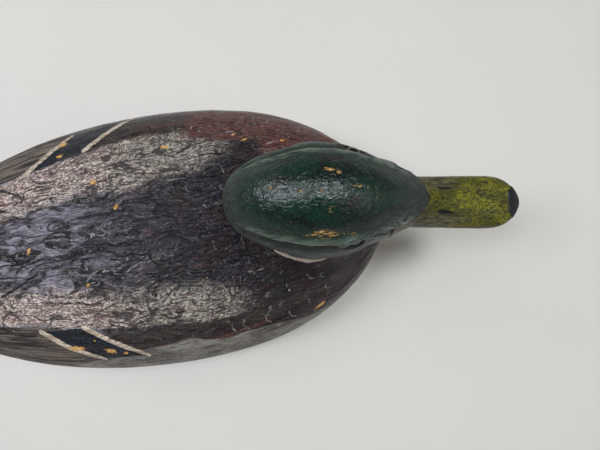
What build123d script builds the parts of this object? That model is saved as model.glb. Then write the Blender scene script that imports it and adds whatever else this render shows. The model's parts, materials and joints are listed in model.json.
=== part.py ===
"""A hollow wooden drake mallard decoy, painted, with a head that turns on a bolt.

The row frame is in millimetres: +X is forwards, along the hull's centreline to the breast, +Y is to the bird's
left and +Z is up. The origin is under the middle of the overall length, on the flat bottom that it stands on.
"""

from build123d import *

import math
import os

os.makedirs("parts", exist_ok=True)

# ---------------------------------------------------------------- driving dimensions
NECK_X = 97.0  # the head turns about the vertical line here
HEAD_TURN = -8.0  # degrees from straight ahead, to the bird's right
SEAM_Z = 46.0  # the two halves of the hull meet here
SEAL_THICK = 0.6
WALL = 14.0  # wood left round the hollow
FLOOR_THICK = 19.0  # wood left under the hollow
ROOF_THICK = 15.0
OVER_FULLNESS = 2.15  # superellipse power of the hull's sections, above and below their widest line
UNDER_FULLNESS = 2.3
HEAD_FULLNESS = 2.0
BILL_FULLNESS = 2.4
SECTION_POINTS = 20
HULL_STATIONS, HOLLOW_STATIONS, HEAD_STATIONS, BILL_STATIONS = 16, 10, 14, 10  # spaces between faired sections

# The hull's table of offsets, from the tail to the breast:
# station, half breadth, height of the widest line, height of the back, height of the keel line.
# Keel heights below zero are planed off by the flat bottom.
HULL_LINES = [
    (-202.0, 5.5, 58.0, 61.5, 54.5),
    (-198.5, 12.5, 57.5, 62.5, 52.0),
    (-187.5, 19.5, 56.5, 65.0, 48.5),
    (-170.0, 27.0, 54.5, 69.5, 42.0),
    (-146.0, 38.5, 52.0, 76.0, 30.0),
    (-115.0, 54.5, 50.0, 83.5, 14.0),
    (-74.0, 71.0, 48.0, 90.0, -2.0),
    (-28.0, 79.5, 47.0, 93.0, -6.0),
    (13.5, 81.6, 46.0, 93.5, -6.0),
    (55.0, 77.5, 46.0, 93.0, -4.0),
    (91.0, 66.5, 47.0, 91.0, 3.0),
    (118.5, 49.5, 49.0, 85.0, 13.0),
    (135.0, 32.0, 51.0, 76.5, 25.0),
    (143.5, 16.5, 52.0, 66.0, 37.0),
    (146.5, 5.0, 52.0, 56.5, 47.5),
]
HOLLOW_FROM_X, HOLLOW_TO_X = -140.0, 121.0  # the gouged hollow stops short of the tail and the breast
HOLLOW_NARROWING = 0.45  # of the nearest full section's half breadth, at each end of the hollow
HOLLOW_TAIL_RISE, HOLLOW_TAIL_DROP = 9.0, 7.0  # above and below the seam
HOLLOW_BREAST_RISE, HOLLOW_BREAST_DROP = 12.0, 8.0

# The head's table of offsets, along its own axis from the neck line to the forehead.
HEAD_LINES = [
    (-40.5, 3.0, 137.0, 141.0, 133.0),
    (-37.5, 11.0, 136.0, 149.0, 124.0),
    (-29.0, 18.2, 135.0, 157.5, 112.0),
    (-14.5, 24.2, 132.0, 164.5, 105.0),
    (0.0, 27.2, 129.0, 167.0, 103.0),
    (11.5, 26.8, 128.5, 166.5, 104.0),
    (24.0, 22.8, 129.0, 163.0, 106.0),
    (36.0, 18.0, 129.0, 156.5, 109.0),
    (47.0, 13.6, 128.0, 147.5, 112.5),
    (55.0, 9.0, 126.0, 139.0, 115.5),
]
# The bill's table of offsets, from inside the forehead to its tip.
BILL_LINES = [
    (36.0, 11.0, 121.0, 143.0, 110.0),
    (50.0, 12.7, 120.5, 137.0, 111.5),
    (60.0, 12.9, 120.0, 132.0, 112.5),
    (75.0, 13.2, 118.0, 126.8, 112.3),
    (90.0, 13.3, 116.5, 123.6, 111.4),
    (97.0, 12.0, 116.3, 122.2, 111.3),
    (103.0, 8.0, 116.2, 120.4, 112.4),
    (106.0, 2.5, 116.0, 118.0, 114.2),
]

# The neck, its seat and the bolt through it
SEAT_Z = 94.0
SEAT_RADIUS, SEAT_FOOT_RADIUS, SEAT_FOOT_Z = 30.0, 38.5, 78.0
LEATHER_THICK, LEATHER_RADIUS = 1.6, 28.0
NECK_BASE_RADIUS = 29.5
NECK_LINES = [(7.0, 27.8), (16.0, 25.6), (30.0, 22.8)]  # height over the neck's foot, radius
PILLAR_RADIUS = 19.0  # wood left standing in the hollow round the bolt
NECK_PLAY = 0.05  # between the head's turning faces and those that they turn on
BOLT_RADIUS = 4.0
BOLT_BORE_RADIUS = 4.1
BOLT_IN_HEAD = 42.0
BOLT_END_Z = 17.0
BOLT_FOOT_CHAMFER, BOLT_POINT_CHAMFER = 0.8, 3.0
RECESS_RADIUS, RECESS_TOP_Z = 13.0, 33.0
PLUG_TOP_Z = 15.0
GLUE_LINE = 0.05  # round each peg, nail, plug and wire that is driven or glued into the wood
WASHER_THICK, WASHER_RADIUS = 1.6, 11.0
NUT_ACROSS_FLATS, NUT_THICK, JAM_NUT_THICK = 13.0, 6.5, 4.8
NUT_CONE, NUT_CONE_FACE = 30.0, 6.63  # the cone that trims the nuts' corners: degrees, and radius on their face
JAM_NUT_TURN = 20.0  # degrees between the two nuts' flats

# The eyes
EYE_X, EYE_Y, EYE_Z = 19.5, 21.1, 147.0  # where each eye meets the head's surface, along the head's own axis
EYE_OUT, EYE_UP = 18.0, 13.0  # degrees that each eye looks ahead of square and above level
EYE_RADIUS = 4.6
EYE_DEPTH = 2.9  # the ball's middle lies this far under the surface
SOCKET_RADIUS, SOCKET_DEPTH = 6.0, 8.5
PUTTY_BELOW = 1.7  # the putty stops this far under the surface
EYE_WIRE_RADIUS, EYE_WIRE_LENGTH = 0.6, 11.0
EYE_WIRE_LAP = 0.5  # of the wire that reaches into the ball

# Pegs and nails that hold the halves together
DOWEL_RADIUS, DOWEL_HALF_LENGTH, DOWEL_CHAMFER = 3.2, 14.0, 0.8
POINT_SHARE = 0.8  # of a nail's or a screw's radius that its point is chamfered by
DOWEL_PLACES = [(-128.0, 36.0), (68.0, 62.0)]  # along the hull, out from its centreline, both sides
NAIL_RADIUS, NAIL_HEAD_RADIUS, NAIL_HEAD_THICK = 1.3, 2.4, 1.0
NAIL_HEAD_Z, NAIL_TIP_Z = 22.0, 66.0
NAIL_PLACES = [(-90.0, 54.6), (-20.0, 69.5), (30.0, 70.3)]

# The ballast let into the bottom
WEIGHT_LENGTH, WEIGHT_WIDTH, WEIGHT_THICK = 118.0, 30.0, 8.0
WEIGHT_X = -14.0
WEIGHT_RECESS = 0.4  # the lead lies this far inside the wood's flat face
WEIGHT_CORNER = 5.0
SCREW_PLACES = [(x, y) for x in (-46.0, 46.0) for y in (-7.5, 7.5)]  # from the middle of the weight
SCREW_RADIUS, SCREW_HEAD_RADIUS, SCREW_LENGTH = 1.9, 3.8, 16.0
SLOT_WIDTH, SLOT_DEPTH, SLOT_TURN = 0.9, 1.0, 35.0

# The anchor line's staple and ring on the breast
STAPLE_FOOT = (139.3, 31.0)  # where its middle line meets the wood: along the hull, height
STAPLE_SLOPE = -35.0  # degrees that it points below level, square to the wood
STAPLE_WIRE = 1.5  # radius of its wire
STAPLE_WIDTH = 11.0  # between the middles of its legs
STAPLE_BEND = 3.2
STAPLE_STAND, STAPLE_BURIED = 9.5, 16.0
RING_WIRE, RING_MEAN_RADIUS = 1.1, 8.4
RING_PLAY = 0.3  # between the ring and the staple that it hangs on

HEAD_FRAME = Plane(
    origin=(NECK_X, 0, 0),
    x_dir=(math.cos(math.radians(HEAD_TURN)), math.sin(math.radians(HEAD_TURN)), 0),
    z_dir=(0, 0, 1),
)
NECK_FOOT_Z = SEAT_Z + LEATHER_THICK + NECK_PLAY


# ---------------------------------------------------------------- shared shapes
def section_points(half_width, widest_z, top_z, bottom_z, over, under):
    """A ring of points on a section that is one superellipse above its widest line and another below it."""
    points = []
    for i in range(SECTION_POINTS):
        turn = 2 * math.pi * i / SECTION_POINTS
        c, s = math.cos(turn), math.sin(turn)
        power = over if s > 0 else under
        height = top_z - widest_z if s > 0 else widest_z - bottom_z
        y = half_width * math.copysign(abs(c) ** (2 / power), c)
        z = widest_z + height * math.copysign(abs(s) ** (2 / power), s)
        points.append((y, z))
    return points


def section(plane, half_width, widest_z, top_z, bottom_z, over, under):
    """One section drawn on this plane, whose x is the bird's left and whose y is up."""
    with BuildSketch(plane) as drawn:
        with BuildLine():
            Spline(*section_points(half_width, widest_z, top_z, bottom_z, over, under), periodic=True)
        make_face()
    return drawn.sketch


def fair_slopes(stations, values):
    """The slope at each station of a smooth curve through the values that never overshoots them."""
    spans = [b - a for a, b in zip(stations, stations[1:])]
    rises = [(b - a) / span for a, b, span in zip(values, values[1:], spans)]
    slopes = [rises[0]]
    for i in range(1, len(rises)):
        before, after = rises[i - 1], rises[i]
        if before * after <= 0:
            slopes.append(0.0)
            continue
        w_before, w_after = 2 * spans[i] + spans[i - 1], spans[i] + 2 * spans[i - 1]
        slopes.append((w_before + w_after) / (w_before / before + w_after / after))
    return [*slopes, rises[-1]]


def faired(lines, spaces):
    """A table of offsets drawn out again at smoothly spaced stations, which are closest at its two ends."""
    stations = [line[0] for line in lines]
    columns = list(zip(*lines))[1:]
    slopes = [fair_slopes(stations, column) for column in columns]
    fair_lines = []
    for n in range(spaces + 1):
        x = stations[0] + (stations[-1] - stations[0]) * (1 - math.cos(math.pi * n / spaces)) / 2
        i = max(k for k in range(len(stations) - 1) if stations[k] <= x)
        span = stations[i + 1] - stations[i]
        t = (x - stations[i]) / span
        fair_line = [x]
        for column, slope in zip(columns, slopes):
            start = (2 * t**3 - 3 * t**2 + 1) * column[i] + (t**3 - 2 * t**2 + t) * span * slope[i]
            end = (3 * t**2 - 2 * t**3) * column[i + 1] + (t**3 - t**2) * span * slope[i + 1]
            fair_line.append(start + end)
        fair_lines.append(fair_line)
    return fair_lines


def along_hull(lines, spaces):
    """The hull's or the hollow's faired sections."""
    return [section(Plane.YZ.offset(x), *line, OVER_FULLNESS, UNDER_FULLNESS) for x, *line in faired(lines, spaces)]


def along_head(lines, spaces, fullness):
    """The head's or the bill's faired sections."""
    return [section(head_section_plane(x), *line, fullness, fullness) for x, *line in faired(lines, spaces)]


def head_section_plane(along):
    """The plane square to the head's axis, this far in front of the neck line: its x is the head's left."""
    return Plane(
        origin=HEAD_FRAME.from_local_coords((along, 0, 0)),
        x_dir=HEAD_FRAME.y_dir,
        z_dir=HEAD_FRAME.x_dir,
    )


def hollow_lines():
    """The hull's offsets inside the hollow, drawn in by the wall, the roof and the floor."""
    inner = [line for line in HULL_LINES if HOLLOW_FROM_X < line[0] < HOLLOW_TO_X]
    lines = []
    for x, half, widest, top, bottom in inner:
        lines.append((x, half - WALL, SEAM_Z, top - ROOF_THICK, max(bottom, 0) + FLOOR_THICK))
    first, last = lines[0], lines[-1]
    tail_half, breast_half = first[1] * HOLLOW_NARROWING, last[1] * HOLLOW_NARROWING
    tail_end = (HOLLOW_FROM_X, tail_half, SEAM_Z, SEAM_Z + HOLLOW_TAIL_RISE, SEAM_Z - HOLLOW_TAIL_DROP)
    breast_end = (HOLLOW_TO_X, breast_half, SEAM_Z, SEAM_Z + HOLLOW_BREAST_RISE, SEAM_Z - HOLLOW_BREAST_DROP)
    return [tail_end, *lines, breast_end]


def both_sides(places):
    """Each place on the left and on the right of the centreline."""
    return [(x, side * y) for x, y in places for side in (1, -1)]


# ---------------------------------------------------------------- the hull's form, its hollow and its pillar
with BuildPart() as hull_form:
    loft(sections=along_hull(HULL_LINES, HULL_STATIONS))
    with BuildSketch(Plane.XY.offset(SEAT_FOOT_Z)):
        with Locations((NECK_X, 0)):
            Circle(SEAT_FOOT_RADIUS)
    with BuildSketch(Plane.XY.offset(SEAT_Z)):
        with Locations((NECK_X, 0)):
            Circle(SEAT_RADIUS)
    loft()
    split(bisect_by=Plane.XY, keep=Keep.TOP)

with BuildPart() as hollow:
    loft(sections=along_hull(hollow_lines(), HOLLOW_STATIONS))
    with BuildSketch(Plane.XY):
        with Locations((NECK_X, 0)):
            Circle(PILLAR_RADIUS)
    extrude(amount=SEAT_Z, mode=Mode.SUBTRACT)

# ---------------------------------------------------------------- pegs and nails that hold the halves together
with BuildPart() as seam_dowels:
    with BuildSketch(Plane.XY.offset(SEAM_Z - DOWEL_HALF_LENGTH)):
        with Locations(*both_sides(DOWEL_PLACES)):
            Circle(DOWEL_RADIUS)
    extrude(amount=2 * DOWEL_HALF_LENGTH)
    chamfer(seam_dowels.edges().filter_by(GeomType.CIRCLE), DOWEL_CHAMFER)

with BuildPart() as shell_nails:
    with BuildSketch(Plane.XY.offset(NAIL_HEAD_Z)):
        with Locations(*both_sides(NAIL_PLACES)):
            Circle(NAIL_RADIUS)
    extrude(amount=NAIL_TIP_Z - NAIL_HEAD_Z)
    chamfer(shell_nails.edges().group_by(Axis.Z)[-1], NAIL_RADIUS * POINT_SHARE)
    with BuildSketch(Plane.XY.offset(NAIL_HEAD_Z)):
        with Locations(*both_sides(NAIL_PLACES)):
            Circle(NAIL_HEAD_RADIUS)
    extrude(amount=NAIL_HEAD_THICK)

# the holes that those pegs, nails and the neck bolt leave in the hull
with BuildPart() as hull_holes:
    with BuildSketch(Plane.XY.offset(SEAM_Z - DOWEL_HALF_LENGTH - GLUE_LINE)):
        with Locations(*both_sides(DOWEL_PLACES)):
            Circle(DOWEL_RADIUS + GLUE_LINE)
    extrude(amount=2 * (DOWEL_HALF_LENGTH + GLUE_LINE))
    with BuildSketch(Plane.XY.offset(NAIL_HEAD_Z)):
        with Locations(*both_sides(NAIL_PLACES)):
            Circle(NAIL_RADIUS + GLUE_LINE)
    extrude(amount=NAIL_TIP_Z + GLUE_LINE - NAIL_HEAD_Z)
    with BuildSketch(Plane.XY):
        with Locations(*both_sides(NAIL_PLACES)):
            Circle(NAIL_HEAD_RADIUS + GLUE_LINE)
    extrude(amount=NAIL_HEAD_Z + NAIL_HEAD_THICK + GLUE_LINE)
    with BuildSketch(Plane.XY):
        with Locations((NECK_X, 0)):
            Circle(BOLT_BORE_RADIUS)
    extrude(amount=SEAT_Z + LEATHER_THICK)
    with BuildSketch(Plane.XY):
        with Locations((NECK_X, 0)):
            Circle(RECESS_RADIUS)
    extrude(amount=RECESS_TOP_Z)

# ---------------------------------------------------------------- the upper half and the seal under it
with BuildPart() as upper_body_shell:
    add(hull_form.part)
    split(bisect_by=Plane.XY.offset(SEAM_Z + SEAL_THICK / 2), keep=Keep.TOP)
    add(hollow.part, mode=Mode.SUBTRACT)
    add(hull_holes.part, mode=Mode.SUBTRACT)

with BuildPart() as seam_seal:
    mating_faces = upper_body_shell.faces().filter_by(GeomType.PLANE).group_by(Axis.Z)[0]
    extrude(mating_faces, amount=SEAL_THICK, dir=(0, 0, -1))

# ---------------------------------------------------------------- the anchor line's staple and ring
SLOPE = math.radians(STAPLE_SLOPE)
STAPLE_OUT = Vector(math.cos(SLOPE), 0, math.sin(SLOPE))
STAPLE_ORIGIN = Vector(STAPLE_FOOT[0], 0, STAPLE_FOOT[1])
STAPLE_PLANE = Plane(origin=STAPLE_ORIGIN, x_dir=(0, 1, 0), z_dir=STAPLE_OUT.cross(Vector(0, 1, 0)))


def staple(wire_radius):
    """The staple's wire, from one buried leg round the crown to the other."""
    with BuildPart() as wire:
        with BuildLine(STAPLE_PLANE) as path:
            FilletPolyline(
                (-STAPLE_WIDTH / 2, STAPLE_BURIED),
                (-STAPLE_WIDTH / 2, -STAPLE_STAND),
                (STAPLE_WIDTH / 2, -STAPLE_STAND),
                (STAPLE_WIDTH / 2, STAPLE_BURIED),
                radius=STAPLE_BEND,
            )
        with BuildSketch(Plane(origin=path.line @ 0, z_dir=path.line % 0)):
            Circle(wire_radius)
        sweep()
    return wire.part


line_staple = staple(STAPLE_WIRE)

CROWN = STAPLE_ORIGIN + STAPLE_OUT * STAPLE_STAND
RING_DROP = RING_MEAN_RADIUS - RING_WIRE - STAPLE_WIRE - RING_PLAY
with BuildPart() as line_ring:
    with BuildSketch(Plane(origin=CROWN - Vector(0, 0, RING_DROP), x_dir=(1, 0, 0), z_dir=(0, 0, 1))):
        with Locations((RING_MEAN_RADIUS, 0)):
            Circle(RING_WIRE)
    revolve(axis=Axis(CROWN - Vector(0, 0, RING_DROP), (0, 1, 0)))

# ---------------------------------------------------------------- the lower half
with BuildPart() as ballast_screws:
    with BuildSketch(Plane.XY.offset(WEIGHT_RECESS)):
        with Locations(*[(WEIGHT_X + x, y) for x, y in SCREW_PLACES]):
            Circle(SCREW_RADIUS)
    extrude(amount=SCREW_LENGTH)
    chamfer(ballast_screws.edges().group_by(Axis.Z)[-1], SCREW_RADIUS * POINT_SHARE)
    with BuildSketch(Plane.XY.offset(WEIGHT_RECESS)):
        with Locations(*[(WEIGHT_X + x, y) for x, y in SCREW_PLACES]):
            Circle(SCREW_HEAD_RADIUS)
    extrude(amount=SCREW_HEAD_RADIUS - SCREW_RADIUS, taper=45)

with BuildPart() as lower_body_shell:
    add(hull_form.part)
    split(bisect_by=Plane.XY.offset(SEAM_Z - SEAL_THICK / 2), keep=Keep.BOTTOM)
    add(hollow.part, mode=Mode.SUBTRACT)
    add(hull_holes.part, mode=Mode.SUBTRACT)
    with BuildSketch(Plane.XY):
        with Locations((WEIGHT_X, 0)):
            RectangleRounded(WEIGHT_LENGTH, WEIGHT_WIDTH, WEIGHT_CORNER)
    extrude(amount=WEIGHT_RECESS + WEIGHT_THICK, mode=Mode.SUBTRACT)
    with BuildSketch(Plane.XY):
        with Locations(*[(WEIGHT_X + x, y) for x, y in SCREW_PLACES]):
            Circle(SCREW_RADIUS + GLUE_LINE)
    extrude(amount=WEIGHT_RECESS + SCREW_LENGTH + GLUE_LINE, mode=Mode.SUBTRACT)
    add(staple(STAPLE_WIRE + GLUE_LINE), mode=Mode.SUBTRACT)

# ---------------------------------------------------------------- ballast
with BuildPart() as ballast_weight:
    with BuildSketch(Plane.XY.offset(WEIGHT_RECESS)):
        with Locations((WEIGHT_X, 0)):
            RectangleRounded(
                WEIGHT_LENGTH - 2 * GLUE_LINE, WEIGHT_WIDTH - 2 * GLUE_LINE, WEIGHT_CORNER - GLUE_LINE
            )
    extrude(amount=WEIGHT_THICK)
    add(ballast_screws.part, mode=Mode.SUBTRACT)

with BuildPart() as slotted_screws:
    add(ballast_screws.part)
    with BuildSketch(Plane.XY.offset(WEIGHT_RECESS)):
        with Locations(*[(WEIGHT_X + x, y) for x, y in SCREW_PLACES]):
            Rectangle(2 * SCREW_HEAD_RADIUS, SLOT_WIDTH, rotation=SLOT_TURN)
    extrude(amount=SLOT_DEPTH, mode=Mode.SUBTRACT)

# ---------------------------------------------------------------- the neck bolt, its washers and nuts, and the plug
with BuildPart() as neck_leather:
    with BuildSketch(Plane.XY.offset(SEAT_Z)):
        with Locations((NECK_X, 0)):
            Circle(LEATHER_RADIUS)
            Circle(BOLT_BORE_RADIUS, mode=Mode.SUBTRACT)
    extrude(amount=LEATHER_THICK)

with BuildPart() as neck_bolt:
    with BuildSketch(Plane.XY.offset(BOLT_END_Z)):
        with Locations((NECK_X, 0)):
            Circle(BOLT_RADIUS)
    extrude(amount=NECK_FOOT_Z + BOLT_IN_HEAD - BOLT_END_Z)
    chamfer(neck_bolt.edges().group_by(Axis.Z)[0], BOLT_FOOT_CHAMFER)
    chamfer(neck_bolt.edges().group_by(Axis.Z)[-1], BOLT_POINT_CHAMFER)

WASHER_Z = RECESS_TOP_Z - WASHER_THICK
NUT_Z = WASHER_Z - NECK_PLAY - NUT_THICK
JAM_NUT_Z = NUT_Z - JAM_NUT_THICK
with BuildPart() as neck_washer:
    with BuildSketch(Plane.XY.offset(WASHER_Z)):
        with Locations((NECK_X, 0)):
            Circle(WASHER_RADIUS)
            Circle(BOLT_BORE_RADIUS, mode=Mode.SUBTRACT)
    extrude(amount=WASHER_THICK)


def hex_nut(bottom_z, thickness, turn):
    """A nut on the neck bolt, with its corners chamfered by a cone."""
    with BuildPart() as nut:
        with BuildSketch(Plane.XY.offset(bottom_z)):
            with Locations((NECK_X, 0)):
                RegularPolygon(NUT_ACROSS_FLATS / 2, 6, major_radius=False, rotation=turn)
        extrude(amount=thickness)
        with BuildSketch(Plane.XY.offset(bottom_z)):
            with Locations((NECK_X, 0)):
                Circle(NUT_CONE_FACE)
        extrude(amount=thickness, taper=-NUT_CONE, mode=Mode.INTERSECT)
        with BuildSketch(Plane.XY.offset(bottom_z)):
            with Locations((NECK_X, 0)):
                Circle(BOLT_RADIUS)
        extrude(amount=thickness, mode=Mode.SUBTRACT)
    return nut.part


neck_nut = hex_nut(NUT_Z, NUT_THICK, 0)
neck_jam_nut = hex_nut(JAM_NUT_Z, JAM_NUT_THICK, JAM_NUT_TURN)

with BuildPart() as bottom_plug:
    with BuildSketch(Plane.XY):
        with Locations((NECK_X, 0)):
            Circle(RECESS_RADIUS - GLUE_LINE)
    extrude(amount=PLUG_TOP_Z)
    add(hull_form.part, mode=Mode.INTERSECT)


# ---------------------------------------------------------------- the head, its bill and its neck, carved in one
def eye_plane(side, out):
    """The plane square to an eye's look, this far out from where the eye meets the head's surface."""
    ahead, up = math.radians(EYE_OUT), math.radians(EYE_UP)
    look = HEAD_FRAME.x_dir * (math.sin(ahead) * math.cos(up))
    look += HEAD_FRAME.y_dir * (side * math.cos(ahead) * math.cos(up))
    look += Vector(0, 0, math.sin(up))
    return Plane(origin=HEAD_FRAME.from_local_coords((EYE_X, side * EYE_Y, EYE_Z)) + look * out, z_dir=look)


with BuildPart() as head_form:
    loft(sections=along_head(HEAD_LINES, HEAD_STATIONS, HEAD_FULLNESS))
    loft(sections=along_head(BILL_LINES, BILL_STATIONS, BILL_FULLNESS))
    with BuildSketch(Plane.XY.offset(NECK_FOOT_Z)):
        with Locations((NECK_X, 0)):
            Circle(NECK_BASE_RADIUS)
    for height, radius in NECK_LINES:
        with BuildSketch(Plane.XY.offset(NECK_FOOT_Z + height)):
            with Locations((NECK_X, 0)):
                Circle(radius)
    loft()

with BuildPart() as head:
    add(head_form.part)
    with BuildSketch(Plane.XY.offset(NECK_FOOT_Z)):
        with Locations((NECK_X, 0)):
            Circle(BOLT_RADIUS + GLUE_LINE)
    extrude(amount=BOLT_IN_HEAD + GLUE_LINE, mode=Mode.SUBTRACT)
    for side in (1, -1):
        with BuildSketch(eye_plane(side, -SOCKET_DEPTH)):
            Circle(SOCKET_RADIUS)
        extrude(amount=2 * SOCKET_DEPTH, mode=Mode.SUBTRACT)
        with BuildSketch(eye_plane(side, -EYE_DEPTH - EYE_RADIUS - EYE_WIRE_LENGTH)):
            Circle(EYE_WIRE_RADIUS + GLUE_LINE)
        extrude(amount=EYE_WIRE_LENGTH, mode=Mode.SUBTRACT)


def glass_eye(side):
    """A glass ball."""
    with BuildPart(eye_plane(side, -EYE_DEPTH)) as ball:
        Sphere(EYE_RADIUS)
    return ball.part


def eye_wire(side):
    """The iron wire that the ball was blown on, pushed into the wood behind it."""
    with BuildPart() as wire:
        with BuildSketch(eye_plane(side, -EYE_DEPTH - EYE_RADIUS - EYE_WIRE_LENGTH + GLUE_LINE)):
            Circle(EYE_WIRE_RADIUS)
        extrude(amount=EYE_WIRE_LENGTH + EYE_WIRE_LAP)
        add(glass_eye(side), mode=Mode.SUBTRACT)
    return wire.part


def eye_putty(side):
    """The putty between the ball and the walls of its socket, pressed in a little below the head's surface."""
    with BuildPart() as putty:
        with BuildSketch(eye_plane(side, -SOCKET_DEPTH + GLUE_LINE)):
            Circle(SOCKET_RADIUS - GLUE_LINE)
        extrude(amount=SOCKET_DEPTH - GLUE_LINE - PUTTY_BELOW)
        add(glass_eye(side), mode=Mode.SUBTRACT)
        add(eye_wire(side), mode=Mode.SUBTRACT)
    return putty.part


# ---------------------------------------------------------------- the finished pieces
PIECES = {
    "upper_body_shell": upper_body_shell.part,
    "lower_body_shell": lower_body_shell.part,
    "seam_seal": seam_seal.part,
    "seam_dowels": seam_dowels.part,
    "shell_nails": shell_nails.part,
    "ballast_weight": ballast_weight.part,
    "ballast_screws": slotted_screws.part,
    "bottom_plug": bottom_plug.part,
    "neck_leather": neck_leather.part,
    "neck_washer": neck_washer.part,
    "neck_bolt": neck_bolt.part,
    "neck_nut": neck_nut,
    "neck_jam_nut": neck_jam_nut,
    "head": head.part,
    "left_eye": glass_eye(1),
    "right_eye": glass_eye(-1),
    "left_eye_wire": eye_wire(1),
    "right_eye_wire": eye_wire(-1),
    "left_eye_putty": eye_putty(1),
    "right_eye_putty": eye_putty(-1),
    "line_staple": line_staple,
    "line_ring": line_ring.part,
}
for name, piece in PIECES.items():
    piece.label = name
    export_step(piece, f"parts/{name}.step")
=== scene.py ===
"""The looks of an old painted mallard decoy: carved wood under thick, chipped, hand-brushed oil paint.

Lengths are in millimetres in the row frame until they reach Blender, which is in metres: +X is forwards,
+Y is the bird's left and +Z is up. The head's own frame has the same Z, starts at the neck's axis and
turns with the head.
"""
import json
import math

import bmesh
import bpy
import numpy as np
from mathutils import Matrix, Vector
from mathutils.bvhtree import BVHTree

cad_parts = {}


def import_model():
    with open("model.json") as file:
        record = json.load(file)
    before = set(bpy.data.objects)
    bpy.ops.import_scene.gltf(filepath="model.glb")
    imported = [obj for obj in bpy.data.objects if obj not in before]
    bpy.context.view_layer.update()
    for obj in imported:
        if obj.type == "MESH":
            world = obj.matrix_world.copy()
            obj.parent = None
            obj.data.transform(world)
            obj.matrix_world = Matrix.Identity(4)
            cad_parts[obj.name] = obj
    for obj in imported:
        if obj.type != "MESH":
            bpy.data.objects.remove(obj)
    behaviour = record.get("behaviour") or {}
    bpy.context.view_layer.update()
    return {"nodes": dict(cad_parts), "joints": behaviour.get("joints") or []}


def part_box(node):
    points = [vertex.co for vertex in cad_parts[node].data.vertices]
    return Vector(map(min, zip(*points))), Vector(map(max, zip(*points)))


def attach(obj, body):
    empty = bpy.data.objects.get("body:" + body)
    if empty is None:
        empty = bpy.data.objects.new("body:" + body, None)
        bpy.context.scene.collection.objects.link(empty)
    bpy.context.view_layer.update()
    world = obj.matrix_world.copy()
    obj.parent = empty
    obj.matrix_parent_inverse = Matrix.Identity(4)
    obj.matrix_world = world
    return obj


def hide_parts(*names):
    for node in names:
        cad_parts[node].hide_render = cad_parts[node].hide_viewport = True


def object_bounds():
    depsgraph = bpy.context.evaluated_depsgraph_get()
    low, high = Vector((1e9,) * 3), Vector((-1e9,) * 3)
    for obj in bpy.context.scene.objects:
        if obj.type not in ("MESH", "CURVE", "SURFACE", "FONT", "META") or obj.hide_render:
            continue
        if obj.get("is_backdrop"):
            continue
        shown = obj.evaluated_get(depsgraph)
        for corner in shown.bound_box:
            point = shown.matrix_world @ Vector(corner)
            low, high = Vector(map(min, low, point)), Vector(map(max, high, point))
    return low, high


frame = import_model()
NODES = frame["nodes"]

# ---------------------------------------- facts that the paint and the carving share
MM = 0.001
HEAD_JOINT = next(joint for joint in frame["joints"] if joint["name"] == "head_turn")
NECK_X = HEAD_JOINT["pos_m"][0] / MM
NECK_Z = HEAD_JOINT["pos_m"][2] / MM
HEAD_TURN = math.radians(-8.0)
SEAM_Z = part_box("seam_seal")[1].z / MM
BILL_TIP = 106.0  # along the head's own axis
BILL_BASE = 54.5  # where the forehead's point meets the bill
NOSTRIL_X, NOSTRIL_Y = 66.0, 6.3
EYE_X, EYE_Y, EYE_Z = 19.5, 21.1, 147.0
EYE_SHRINK, EYE_SET_BACK = 0.88, 1.0
EYE_LOOK = math.radians(18.0)  # how far each eye looks ahead, and up, from straight out to its side
SEAT_EDGE = 30.5  # the radius round the neck's axis where its flat seat ends
BACK_Z = 50.0  # the painted marks lie on the hull above this height
# how finely each piece is meshed, within what the export keeps
HEAD_VOXEL, UPPER_VOXEL, LOWER_VOXEL = 0.62, 1.0, 1.02
# the camera: close above the bird, turned and tilted a little
CAMERA_PLACE = (88.3, -26.4, 345.0)
CAMERA_TURN, CAMERA_TILT = math.radians(-8.6), math.radians(4.188)
LENS, SENSOR_WIDTH = 27.04, 36.0
FLOOR_REACH = 3.0  # in metres, from the middle to each edge

# The marks' places below follow the photo. Some were chosen one by one. Others were picked in the photo by
# eye and turned into millimetres by a scratch program; report.md says which.
# the wing patch: its two pale bars on each side, from the back's edge outwards, and their half widths
BARS = {
    1: {
        "rear": [(-64.5, 45.5), (-52.0, 57.0), (-40.0, 68.8)],
        "front": [(-29.0, 55.3), (-17.0, 65.5), (-4.0, 76.6)],
    },
    -1: {
        "rear": [(-65.0, 46.0), (-51.0, 58.5), (-35.0, 68.4)],
        "front": [(-39.0, 47.2), (-25.0, 58.5), (-9.0, 69.9)],
    },
}
BAR_HALF_WIDTH = {"rear": 1.45, "front": 1.4}
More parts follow.
